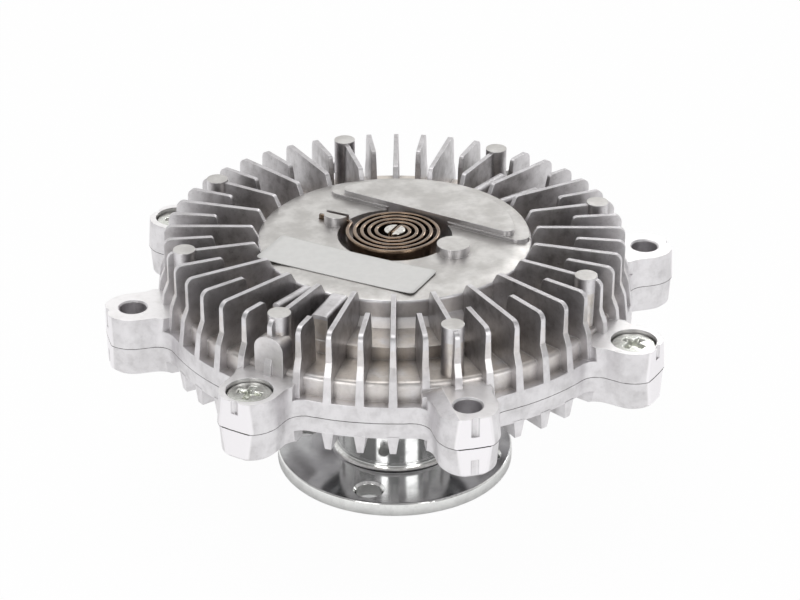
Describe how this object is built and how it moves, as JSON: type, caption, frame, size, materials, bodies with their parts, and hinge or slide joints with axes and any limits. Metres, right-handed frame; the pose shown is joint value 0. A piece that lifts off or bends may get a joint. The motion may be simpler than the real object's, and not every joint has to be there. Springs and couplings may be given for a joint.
{
  "type": "viscous fan clutch",
  "caption": "Finned viscous coupling for an engine fan: slotted bimetal coil on its front, eared housing for the fan, and a bolted drive flange behind.",
  "frame": {"origin": "centre of the drive flange's rear face, which the part stands on", "axes": "+Z along the axis of rotation, from the drive flange towards the finned front; the plain ears lie on +X, +Y, -X and -Y"},
  "size_m": [0.1866, 0.1866, 0.085],
  "materials": {
    "plated_forging": "bright zinc plating on a forging",
    "bearing_steel": "ground",
    "polished_ball": "polished",
    "moulded_cage": "moulded",
    "seal_rubber": "matt",
    "spring_steel": "phosphated",
    "cast_metal": "die cast and tumbled, machined on the plateau and the ears",
    "zinc_screw": "zinc plated",
    "turned_rotor": "turned",
    "sheet_steel": "pressed",
    "pin_steel": "turned",
    "bimetal_strip": "heat-toned strip",
    "label_paper": "blank, matt"
  },
  "bodies": {
    "drive_shaft": {"flange_shaft": "plated_forging", "bearing_inner_ring": "bearing_steel", "rotor_disc": "turned_rotor", "rotor_lock_washer": "spring_steel", "rotor_lock_nut": "zinc_screw"},
    "housing": {"rear_housing": "cast_metal", "front_cover": "cast_metal", "housing_ring_seal": "seal_rubber", "cover_screws": "zinc_screw", "bearing_outer_ring": "bearing_steel", "bearing_seals": "seal_rubber", "bearing_snap_ring": "spring_steel", "divider_plate": "sheet_steel", "divider_screws": "zinc_screw", "bimetal_coil": "bimetal_strip", "blank_label": "label_paper"},
    "valve": {"valve_pin": "pin_steel", "valve_arm": "sheet_steel", "pin_seal_ring": "seal_rubber", "pin_clip": "spring_steel"},
    "ball_cage": {"bearing_cage": "moulded_cage", "bearing_balls": "polished_ball"}
  },
  "joints": [
    {"name": "housing_spin", "type": "hinge", "parent": "drive_shaft", "child": "housing", "pos_m": [0, 0, 0.0385], "axis": [0, 0, 1], "continuous": true},
    {"name": "cage_orbit", "type": "hinge", "parent": "drive_shaft", "child": "ball_cage", "pos_m": [0, 0, 0.0385], "axis": [0, 0, 1], "continuous": true},
    {"name": "valve_turn", "type": "hinge", "parent": "housing", "child": "valve", "pos_m": [0, 0, 0.0733], "axis": [0, 0, 1], "range_deg": [0, 45], "stiffness_Nm_per_rad": 0.24, "deforming": ["bimetal_coil"]}
  ],
  "couplings": [
    {"joint": "cage_orbit", "follows": "housing_spin", "ratio": 0.6026}
  ]
}
